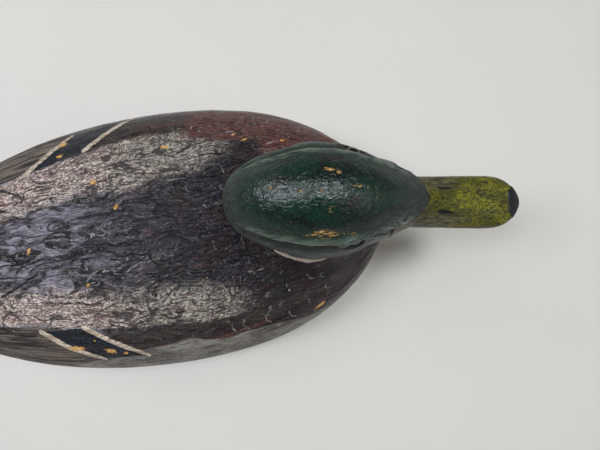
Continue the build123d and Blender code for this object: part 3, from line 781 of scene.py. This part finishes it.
# ---------------------------------------- paints and metals
def hull_paint():
    g = Graph("hull paint")
    place = g.place
    x = g.part(place, 0)
    lateral = g.field("lateral")
    flow = g.vector(x, g.mul(lateral, 80.0), g.mul(g.part(place, 2), 0.4))
    swirl = g.shift(flow, g.noise(flow, (34, 24, 24), output="Color"), 16.0)

    ragged = g.noise(flow, (8, 2.2, 3), 4, 0.65, 0.8)
    grain = g.noise(swirl, (11, 0.9, 1.2), 3, 0.65, 0.4)
    speck = g.noise(place, (0.75, 0.7, 0.7), 2, 0.6)
    blotch = g.noise(place, (24, 13, 13), 3, 0.5, 0.8)
    patches = g.noise(swirl, (15, 5, 6), 3, 0.6, 0.5)
    curls = g.most(g.contours(swirl, (8, 4.6, 5), 6, 0.17), g.contours(swirl, (3.4, 2.2, 2.6), 4, 0.13))
    threads = g.contours(swirl, (14, 3.2, 4), 5, 0.15)
    broken = g.step(g.noise(place, (1.5, 1.2, 1.3), 2, 0.65), 0.40, 0.58)

    def zone(name, roughness=0.8, low=0.34, high=0.62):
        """A colour's share with a brushed edge."""
        return g.step(g.add(g.field(name), g.swing(ragged, roughness)), low, high)

    # the back: near-black violet and brown under thin pale strokes that follow its length, with painted sheen
    # to the rear
    colour = g.mix(g.step(blotch, 0.38, 0.62), srgb(18, 15, 20), srgb(32, 23, 24))
    colour = g.mix(g.mul(g.step(patches, 0.56, 0.68), 0.7), colour, srgb(70, 30, 34))
    colour = g.mix(g.mul(g.step(patches, 0.44, 0.32), 0.5), colour, srgb(42, 42, 56))
    worked = g.mul(g.mul(threads, broken), g.step(blotch, 0.30, 0.62))
    tailward = g.step(g.add(x, g.swing(ragged, 30.0)), 44.0, -24.0)
    thread = g.mix(tailward, srgb(106, 98, 106), srgb(150, 146, 146))
    colour = g.mix(g.mul(worked, g.add(0.46, g.mul(tailward, 0.34))), colour, thread)
    # painted sheen: pale lavender plates, strongest towards the tail, standing in for a window's reflection
    # in the glossy paint
    rearward = g.step(g.add(x, g.swing(blotch, 60.0)), 0.0, -62.0)
    painted_sheen_plates = g.mul(g.step(patches, 0.40, 0.58), g.add(g.mul(tailward, 0.16), g.mul(rearward, 0.66)))
    colour = g.mix(painted_sheen_plates, colour, g.mix(g.step(grain, 0.40, 0.62), srgb(98, 95, 106), srgb(158, 156, 168)))
    # the mantle before it: fine curls of violet-grey over maroon-black, partly pattern and partly painted
    # sheen
    mantle = g.mix(g.step(patches, 0.42, 0.62), srgb(5, 3, 6), srgb(34, 9, 12))
    # the curls fade to little ahead of the neck: painted shadow of the head over the mantle
    curl_sheen_and_head_shadow = g.mul(g.step(blotch, 0.34, 0.60), g.add(0.10, g.mul(g.step(x, 88.0, 44.0), 0.7)))
    mantle = g.mix(g.mul(g.mul(curls, broken), curl_sheen_and_head_shadow), mantle, srgb(78, 72, 86))
    colour = g.mix(zone("mantle"), colour, mantle)
    # streaked brown sides
    sides = g.mix(g.step(grain, 0.38, 0.64), srgb(20, 15, 14), srgb(68, 56, 50))
    beyond = g.step(g.add(g.size(lateral), g.swing(ragged, 0.12)), 0.62, 0.70)
    colour = g.mix(beyond, colour, sides)
    streak = g.noise(flow, (30, 1.9, 2.4), 3, 0.65, 0.6)
    rear = g.mix(g.step(streak, 0.40, 0.60), srgb(36, 29, 25), srgb(116, 104, 93))
    colour = g.mix(zone("rear_side"), colour, rear)
    # the bands of fine pale scrollwork, pinker over the tail
    pink = g.step(g.add(g.mul(x, -0.012), g.mul(blotch, 1.3)), 0.50, 1.10)
    ground = g.mix(pink, srgb(78, 71, 66), srgb(108, 82, 78))
    ground = g.mix(g.mul(g.step(patches, 0.52, 0.66), 0.6), ground, srgb(116, 84, 78))
    ground = g.mix(g.mul(g.step(grain, 0.52, 0.36), 0.6), ground, srgb(36, 30, 30))
    pale = g.mix(pink, srgb(180, 172, 158), srgb(222, 206, 194))
    density = g.add(g.mul(g.field("band"), 1.5), g.swing(patches, 1.6))
    drawn = g.most(g.mul(curls, 0.85), threads)
    scrolls = g.mul(g.mul(drawn, g.add(0.25, g.mul(broken, 0.75))), g.step(density, 0.25, 1.25))
    colour = g.mix(zone("band", 1.6, 0.25, 1.05), colour, ground)
    colour = g.mix(g.mul(scrolls, g.step(g.field("band"), 0.02, 0.40)), colour, pale)
    # long fine cracks with the flow of the paint
    crack = g.mul(g.contours(swirl, (24, 8, 9), 3, 0.10), g.step(g.size(lateral), 0.74, 0.60))
    crack = g.mul(g.mul(crack, g.step(x, 88.0, 50.0)), g.step(blotch, 0.34, 0.52))
    colour = g.mix(g.mul(crack, 0.8), colour, srgb(10, 8, 10))
    # the rump, black, and the pale edges of the tail
    colour = g.mix(zone("rump"), colour, g.mix(g.step(grain, 0.4, 0.7), srgb(20, 18, 21), srgb(52, 48, 53)))
    tail = g.mix(g.step(streak, 0.40, 0.58), srgb(104, 92, 80), srgb(198, 188, 172))
    colour = g.mix(zone("tail_edge"), colour, tail)
    # maroon breast and shoulders
    maroon = g.mix(g.step(blotch, 0.36, 0.60), srgb(9, 4, 6), srgb(34, 11, 12))
    maroon = g.mix(g.mul(g.step(grain, 0.50, 0.66), 0.5), maroon, srgb(54, 38, 34))
    low_breast = g.mul(zone("breast"), g.sub(1.0, g.mul(zone("mantle"), 0.8)))
    colour = g.mix(low_breast, colour, maroon)
    red = g.mix(g.step(grain, 0.38, 0.62), srgb(44, 22, 20), srgb(98, 52, 45))
    red = g.mix(g.step(patches, 0.56, 0.70), red, srgb(100, 32, 27))
    red = g.mix(g.mul(g.mul(threads, broken), 0.5), red, srgb(142, 122, 110))
    colour = g.mix(g.mul(zone("ruddy"), 0.9), colour, red)
    # grey flanks, combed
    comb = g.noise(flow, (22, 1.2, 1.6), 3, 0.6, 0.6)
    wash = g.mix(g.step(blotch, 0.34, 0.66), srgb(92, 87, 81), srgb(140, 136, 127))
    grey = g.mix(g.mul(g.step(comb, 0.50, 0.60), 0.7), wash, srgb(46, 40, 35))
    grey = g.mix(g.mul(g.mul(threads, broken), 0.35), grey, srgb(176, 172, 160))
    colour = g.mix(zone("flank", 0.4), colour, grey)
    # small crescents of grey-white at the feathers' ends
    spread = g.stretch(swirl, (8.5, 6.5, 8.0))
    flecks = g.cells(spread)
    toward = g.part(g.apart(spread, flecks.outputs["Position"]), 0)
    arc = g.step(g.size(g.sub(flecks.outputs["Distance"], 0.25)), 0.06, 0.02)
    arc = g.mul(arc, g.step(toward, 0.05, -0.12))
    arc = g.mul(arc, g.step(g.part(flecks.outputs["Color"], 0), 0.40, 0.50))
    arc = g.mul(arc, g.mul(g.step(x, 5.0, 40.0), g.step(x, 128.0, 104.0)))
    arc = g.mul(g.mul(arc, g.step(ragged, 0.40, 0.54)), g.step(g.field("flank"), 0.6, 0.2))
    colour = g.mix(g.mul(arc, 0.75), colour, srgb(128, 124, 128))
    stroke = g.step(g.add(g.field("strokes"), g.swing(ragged, 2.0)), 0.12, -0.25)
    colour = g.mix(g.mul(g.mul(stroke, g.step(speck, 0.36, 0.52)), 0.8), colour, srgb(158, 152, 148))
    cut = g.step(g.add(g.field("cuts"), g.swing(ragged, 0.8)), 0.3, -0.1)
    colour = g.mix(g.mul(cut, 0.9), colour, srgb(14, 12, 14))
    # the wing patch and its pale bars
    navy = g.mix(g.step(grain, 0.46, 0.64), srgb(2, 5, 8), srgb(12, 30, 50))
    navy = g.mix(g.mul(g.step(speck, 0.62, 0.72), 0.4), navy, srgb(84, 88, 90))
    blue = g.step(g.add(g.field("blue"), g.swing(ragged, 1.4)), -0.2, 0.3)
    colour = g.mix(blue, colour, navy)
    gap = g.step(g.noise(place, (1.0, 1.0, 1.0), 3, 0.65), 0.57, 0.63)
    bar_edge = g.add(g.swing(ragged, 1.0), g.swing(speck, 1.2))
    bar = g.step(g.add(g.field("bars"), bar_edge), 0.22, -0.12)
    cream = g.mix(g.step(grain, 0.40, 0.58), srgb(160, 138, 116), srgb(212, 198, 178))
    colour = g.mix(g.mul(bar, g.sub(1.0, g.mul(gap, 0.85))), colour, cream)
    # the cream ring on the neck's seat, and what is worn or chipped to the priming
    seat = g.mix(grain, srgb(164, 148, 130), srgb(218, 204, 188))
    colour = g.mix(g.step(g.field("ring"), 0.4, 0.6), colour, seat)
    worn = g.step(g.add(g.mul(g.field("worn"), 0.62), g.mul(ragged, 0.6)), 0.62, 0.80)
    colour = g.mix(g.mul(worn, 0.75), colour, g.mix(blotch, srgb(88, 74, 60), srgb(138, 120, 98)))
    torn = g.noise(place, (1.6, 1.0, 1.2), 3, 0.7)
    chip = g.step(g.add(g.field("chips"), g.swing(torn, 3.2)), 1.10, 0.90)
    colour = g.mix(chip, colour, g.mix(g.step(torn, 0.42, 0.56), srgb(194, 136, 60), srgb(226, 190, 124)))
    pinhole = g.cells(g.stretch(place, (7, 7, 7)))
    chosen = g.step(g.part(pinhole.outputs["Color"], 1), 0.72, 0.76)
    dot = g.mul(g.step(pinhole.outputs["Distance"], 0.085, 0.05), chosen)
    colour = g.mix(g.mul(dot, 0.7), colour, srgb(180, 158, 118))

    ridges = g.noise(swirl, (9, 2.6, 4.0), 3, 0.6, 0.8)
    crackle = g.noise(place, (4.2, 3.0, 3.4), 2, 0.55, 0.8)
    relief = g.add(g.mul(g.size(g.sub(ridges, 0.5)), 2.6), g.mul(g.size(g.sub(crackle, 0.5)), 2.4))
    relief = g.add(relief, g.mul(grain, 0.4))
    relief = g.add(relief, g.mul(g.most(curls, threads), 0.22))
    relief = g.add(relief, g.mul(speck, 0.25))
    relief = g.add(relief, g.mul(g.most(arc, stroke), 0.5))
    relief = g.sub(relief, g.mul(crack, 1.0))
    normal = g.bump(relief, 0.60, 0.9)
    shine = g.add(0.20, g.mul(g.noise(place, (6, 4, 4), 3, 0.6), 0.20))
    shine = g.add(shine, g.mul(g.most(g.field("flank"), g.most(chip, zone("rear_side"))), 0.22))
    return g.finish(colour, shine, normal, Specular_IOR_Level=0.36)


def head_paint():
    g = Graph("head paint")
    place = g.place
    z = g.part(place, 2)
    along = g.turned(place, HEAD_TURN)
    streak = g.noise(along, (10, 1.6, 2.2), 4, 0.65, 0.4)
    speck = g.noise(place, (0.85, 0.75, 0.8), 2, 0.6, 0.2)
    blotch = g.noise(place, (15, 9, 9), 3, 0.55, 0.6)
    crackle = g.noise(place, (3.4, 2.8, 3.0), 2, 0.55, 0.7)
    crinkle = g.size(g.sub(crackle, 0.5))

    # green over black, greyer and duller lower down: the grey is painted sheen of paint that faces sideways
    green = g.mix(g.step(blotch, 0.38, 0.60), srgb(2, 13, 12), srgb(2, 37, 25))
    green = g.mix(g.mul(g.step(streak, 0.52, 0.66), 0.5), green, srgb(10, 58, 38))
    green = g.mix(g.mul(g.step(crinkle, 0.06, 0.14), 0.3), green, srgb(34, 52, 46))
    side_sheen_grey = g.mix(g.step(streak, 0.36, 0.64), srgb(21, 31, 25), srgb(52, 63, 53))
    # painted sheen: grey-green lower down the head's sides
    low = g.step(g.add(z, g.swing(streak, 12.0)), 161.0, 148.0)
    colour = g.mix(g.mul(low, 0.85), green, side_sheen_grey)
    colour = g.mix(g.mul(g.step(speck, 0.64, 0.74), 0.45), colour, srgb(92, 98, 74))
    # painted highlight: paler paint along the crown's ridge, where it catches the light
    colour = g.mix(g.mul(g.field("ridge"), g.step(streak, 0.30, 0.62)), colour, srgb(92, 106, 92))
    # painted shade: darker paint in the eye's long groove
    colour = g.mix(g.mul(g.field("groove"), 0.6), colour, srgb(14, 20, 17))
    colour = g.mix(g.mul(g.field("cheek"), g.step(streak, 0.30, 0.62)), colour, srgb(112, 120, 110))
    # painted shade: near-black round each eye, for the dark slit where the eye sits deep under its lids
    eye_shade = g.step(g.add(g.field("eye"), g.swing(streak, 1.6)), 6.9, 6.0)
    colour = g.mix(eye_shade, colour, srgb(8, 9, 9))
    ring = g.step(g.field("ring"), 0.4, 0.6)
    colour = g.mix(ring, colour, g.mix(streak, srgb(170, 154, 136), srgb(222, 208, 192)))

    # bill: yellow-green combed over black along its ridge, brown-grey down its sides
    comb = g.noise(along, (3.6, 1.8, 2.2), 2, 0.55, 1.6)
    combed = g.step(g.size(g.sub(comb, 0.5)), 0.020, 0.044)
    olive = g.mix(g.step(blotch, 0.42, 0.62), srgb(86, 84, 0), srgb(118, 116, 0))
    olive = g.mix(combed, srgb(14, 12, 2), olive)
    side = g.mix(g.step(streak, 0.38, 0.62), srgb(38, 35, 20), srgb(104, 97, 62))
    dry = g.mul(g.step(g.part(along, 0), 158.0, 136.0), g.step(streak, 0.30, 0.66))
    side = g.mix(dry, side, srgb(122, 116, 96))
    ridge = g.step(g.size(g.add(g.part(along, 1), g.swing(streak, 7.0))), 8.0, 4.5)
    ridge = g.most(ridge, g.mul(g.step(g.part(along, 0), 160.0, 182.0), g.step(z, 117.0, 120.0)))
    olive = g.mix(ridge, side, olive)
    olive = g.mix(g.mul(g.step(streak, 0.58, 0.68), 0.5), olive, srgb(40, 36, 20))
    on_bill = g.step(g.field("bill"), -0.25, 0.25)
    colour = g.mix(on_bill, colour, olive)
    line = g.mul(g.step(g.size(g.add(g.field("bill"), 0.6)), 1.0, 0.4), g.step(streak, 0.34, 0.46))
    colour = g.mix(line, colour, srgb(17, 18, 24))
    black = g.most(g.step(g.field("nail"), -0.3, 0.3), g.step(g.field("nostril"), 1.15, 0.9))
    black = g.most(black, g.mul(g.step(g.field("mouth"), 0.8, 0.3), 0.9))
    colour = g.mix(black, colour, g.mix(speck, srgb(2, 3, 5), srgb(20, 22, 27)))

    # worn to the ochre priming, and to bare wood in the middle of the largest patch
    torn = g.noise(along, (2.0, 0.7, 1.0), 5, 0.7, 0.4)
    worn = g.add(g.field("wear"), g.swing(torn, 3.4))
    ochre = g.step(worn, 0.80, 0.92)
    colour = g.mix(ochre, colour, g.mix(speck, srgb(140, 100, 42), srgb(196, 158, 92)))
    colour = g.mix(g.step(worn, 1.34, 1.5), colour, srgb(226, 206, 164))
    rubbed = g.noise(along, (1.9, 0.8, 1.1), 3, 0.65)
    rub = g.mul(g.mul(g.step(rubbed, 0.68, 0.72), g.step(z, 154.0, 162.0)), g.sub(1.0, on_bill))
    colour = g.mix(g.mul(rub, 0.8), colour, srgb(146, 114, 58))

    relief = g.add(g.mul(crinkle, 2.2), g.mul(speck, 0.15))
    relief = g.add(relief, g.mul(streak, 0.6))
    relief = g.sub(relief, g.mul(g.mul(g.sub(1.0, combed), on_bill), 0.7))
    relief = g.sub(relief, g.mul(ochre, 0.6))
    normal = g.bump(relief, 0.36, 0.9)
    shine = g.add(0.20, g.mul(blotch, 0.14))
    shine = g.add(shine, g.mul(low, 0.26))
    shine = g.add(shine, g.mul(g.most(ochre, ring), 0.2))
    return g.finish(colour, shine, normal, Specular_IOR_Level=0.5)


def plain_wood():
    g = Graph("bare pine")
    rings = g.noise(g.place, (60, 2.2, 2.6), 3, 0.55, 0.8)
    pores = g.noise(g.place, (9, 0.5, 0.5), 2, 0.6)
    colour = g.mix(g.step(rings, 0.35, 0.65), srgb(150, 112, 68), srgb(196, 160, 108))
    colour = g.mix(g.mul(g.step(pores, 0.58, 0.7), 0.5), colour, srgb(104, 74, 44))
    return g.finish(colour, g.add(0.55, g.mul(rings, 0.2)), g.bump(g.add(rings, pores), 0.15, 0.6))


def old_metal(name, dark, light, rust, metallic, low_rough, high_rough, rust_from=0.56):
    """Worn metal with a tarnish or rust that gathers in patches."""
    g = Graph(name)
    patch = g.noise(g.place, (4.5, 4.5, 4.5), 4, 0.6, 0.5)
    fine = g.noise(g.place, (0.7, 0.7, 0.7), 3, 0.6)
    scratch = g.noise(g.place, (7.0, 0.5, 0.7), 2, 0.5, 0.3)
    colour = g.mix(g.step(fine, 0.3, 0.7), dark, light)
    colour = g.mix(g.mul(g.step(scratch, 0.60, 0.68), 0.5), colour, light)
    tarnish = g.step(patch, rust_from, rust_from + 0.12)
    colour = g.mix(g.mul(tarnish, 0.85), colour, g.mix(fine, rust, dark))
    rough = g.add(low_rough, g.mul(g.most(patch, tarnish), high_rough - low_rough))
    relief = g.add(g.mul(patch, 0.6), g.mul(fine, 0.6))
    return g.finish(colour, rough, g.bump(relief, 0.18, 0.7), Metallic=metallic)


def leather():
    g = Graph("waxed leather")
    pebble = g.cells(g.stretch(g.place, (1.1, 1.1, 1.1)), "DISTANCE_TO_EDGE").outputs["Distance"]
    blotch = g.noise(g.place, (8, 8, 8), 3, 0.6)
    colour = g.mix(blotch, srgb(56, 34, 22), srgb(112, 74, 46))
    return g.finish(colour, g.add(0.45, g.mul(blotch, 0.2)), g.bump(g.step(pebble, 0.0, 0.2), 0.2, 0.7))


def seal_paste():
    g = Graph("lead paste seal")
    lumps = g.noise(g.place, (5, 2, 0.8), 4, 0.6, 0.5)
    colour = g.mix(g.step(lumps, 0.35, 0.65), srgb(46, 40, 37), srgb(118, 110, 100))
    return g.finish(colour, g.add(0.5, g.mul(lumps, 0.25)), g.bump(lumps, 0.3, 0.8))


def putty():
    g = Graph("painted putty")
    lumps = g.noise(g.place, (1.6, 1.6, 1.6), 3, 0.6, 0.4)
    colour = g.mix(g.step(lumps, 0.35, 0.65), srgb(22, 40, 34), srgb(58, 72, 62))
    return g.finish(colour, g.add(0.30, g.mul(lumps, 0.2)), g.bump(lumps, 0.2, 0.8))


def eye_glass(look, middle):
    """A brown glass eye with a black pupil where it looks; look is a unit vector, middle in millimetres."""
    g = Graph("eye glass")
    forward = g.node("VectorMath", g.apart(g.place, middle), look, operation="DOT_PRODUCT").outputs["Value"]
    ray = g.noise(g.place, (0.5, 0.5, 0.5), 2, 0.5)
    iris = g.mix(g.step(ray, 0.35, 0.65), srgb(20, 10, 5), srgb(54, 29, 12))
    pupil = g.step(g.add(forward, g.swing(ray, 0.15)), 2.0, 2.2)
    colour = g.mix(pupil, iris, srgb(4, 4, 5))
    rough = g.add(0.04, g.mul(ray, 0.08))
    return g.finish(colour, rough, None, Specular_IOR_Level=0.45, Coat_Weight=0.1, Coat_Roughness=0.03)


def give(material, *pieces):
    """Paints pieces, each an object or the name of one of the frame's nodes."""
    for piece in pieces:
        materials = (NODES[piece] if isinstance(piece, str) else piece).data.materials
        materials.clear()
        materials.append(material)


# ---------------------------------------- put together
upper, hull_breadth = hull_piece("painted_upper_hull", "upper_body_shell", UPPER_VOXEL)
lower, _ = hull_piece("painted_lower_hull", "lower_body_shell", LOWER_VOXEL, hull_breadth)
give(hull_paint(), upper, lower)
head = head_piece()
give(head_paint(), head)

iron = old_metal("old iron", srgb(70, 62, 58), srgb(116, 106, 98), srgb(112, 62, 34), 0.85, 0.4, 0.85, 0.46)
zinc, bright_zinc = srgb(120, 120, 122), srgb(176, 176, 178)
steel = old_metal("zinc plate", zinc, bright_zinc, srgb(120, 100, 84), 0.9, 0.3, 0.6, 0.62)
brass = old_metal("tarnished brass", srgb(122, 92, 44), srgb(182, 146, 78), srgb(66, 52, 32), 0.9, 0.3, 0.6)
lead = old_metal("dull lead", srgb(88, 88, 90), srgb(132, 132, 134), srgb(150, 148, 140), 0.6, 0.5, 0.8)
give(iron, "shell_nails", "line_staple", "left_eye_wire", "right_eye_wire")
give(steel, "neck_washer", "neck_bolt", "neck_nut", "neck_jam_nut")
give(brass, "ballast_screws", "line_ring")
give(lead, "ballast_weight")
give(plain_wood(), "seam_dowels", "bottom_plug")
give(leather(), "neck_leather")
give(seal_paste(), "seam_seal")
give(putty(), "left_eye_putty", "right_eye_putty")
for node, hand in (("left_eye", 1), ("right_eye", -1)):
    low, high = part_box(node)
    middle = (low + high) / 2 / MM
    ahead, level = math.sin(EYE_LOOK), math.cos(EYE_LOOK)
    look = spin(np.array([[ahead * level, hand * level**2, math.sin(EYE_LOOK)]]), HEAD_TURN)[0]
    give(eye_glass(look, middle), eye_piece(node, hand))


# ---------------------------------------- floor, lights and camera
def floor():
    mesh = bpy.data.meshes.new("floor")
    corners = [(across, along, 0) for across, along in ((-1, -1), (1, -1), (1, 1), (-1, 1))]
    mesh.from_pydata([Vector(corner) * FLOOR_REACH for corner in corners], [], [(0, 1, 2, 3)])
    ground = add_object("floor", mesh)
    g = Graph("pale table")
    cloud = g.noise(g.place, (90, 90, 90), 3, 0.5)
    fine = g.noise(g.place, (1.2, 1.2, 1.2), 2, 0.5)
    colour = g.mix(cloud, srgb(214, 210, 201), srgb(219, 215, 206))
    give(g.finish(colour, g.add(0.55, g.mul(cloud, 0.1)), g.bump(fine, 0.05, 0.3)), ground)
    ground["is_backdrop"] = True


def area_light(name, place, target, size, watts, colour):
    data = bpy.data.lights.new(name, "AREA")
    data.shape = "DISK"
    data.size = size
    data.energy = watts
    data.color = colour
    light = add_object(name, data)
    light.location = place
    light.rotation_euler = (Vector(target) - Vector(place)).to_track_quat("-Z", "Y").to_euler()


def world(low, high):
    """A plain room: dim straight above and lighter near the horizon."""
    sky = bpy.data.worlds.new("studio")
    bpy.context.scene.world = sky
    sky.use_nodes = True
    nodes, links = sky.node_tree.nodes, sky.node_tree.links
    coords = nodes.new("ShaderNodeTexCoord")
    parts = nodes.new("ShaderNodeSeparateXYZ")
    climb = nodes.new("ShaderNodeMapRange")
    climb.inputs["From Min"].default_value = 0.15
    climb.inputs["From Max"].default_value = 0.85
    climb.inputs["To Min"].default_value = low
    climb.inputs["To Max"].default_value = high
    links.new(coords.outputs["Generated"], parts.inputs[0])
    links.new(parts.outputs[2], climb.inputs["Value"])
    background = nodes["Background"]
    background.inputs["Color"].default_value = (0.96, 0.97, 1.0, 1.0)
    links.new(climb.outputs[0], background.inputs["Strength"])


def camera():
    """Close above the bird, looking almost straight down, with the tail running out of the view."""
    data = bpy.data.cameras.new("camera")
    data.lens = LENS
    data.sensor_width = SENSOR_WIDTH
    data.clip_start = 0.01
    eye = add_object("camera", data)
    right = Vector((math.cos(CAMERA_TURN), math.sin(CAMERA_TURN), 0))
    ahead = Vector((-right.y, right.x, 0))
    up = ahead * math.cos(CAMERA_TILT) + Vector((0, 0, 1)) * math.sin(CAMERA_TILT)
    back = right.cross(up)
    axes = Matrix((right, up, back)).transposed().to_4x4()
    eye.matrix_world = Matrix.Translation(Vector(CAMERA_PLACE) * MM) @ axes
    bpy.context.scene.camera = eye


floor()
world(0.26, 0.05)
area_light("window", (-0.95, 0.80, 1.55), (0, 0, 0.05), 0.9, 5, (1.0, 0.99, 0.98))
area_light("tall_window", (-1.00, 0.18, 1.55), (-0.05, 0, 0.08), 0.5, 9, (0.87, 0.85, 1.0))
area_light("lamp_a", (-0.52, 0.08, 1.62), (0, 0, 0.1), 0.36, 7.5, (0.88, 0.95, 1.0))
area_light("lamp_b", (0.46, 0.20, 1.67), (0, 0, 0.1), 0.36, 11.0, (0.88, 0.94, 1.0))
area_light("room", (1.20, -0.55, 1.30), (0.1, 0, 0), 1.2, 4.5, (1.0, 0.97, 0.90))
camera()
bpy.context.scene.view_settings.view_transform = "Standard"

low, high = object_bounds()
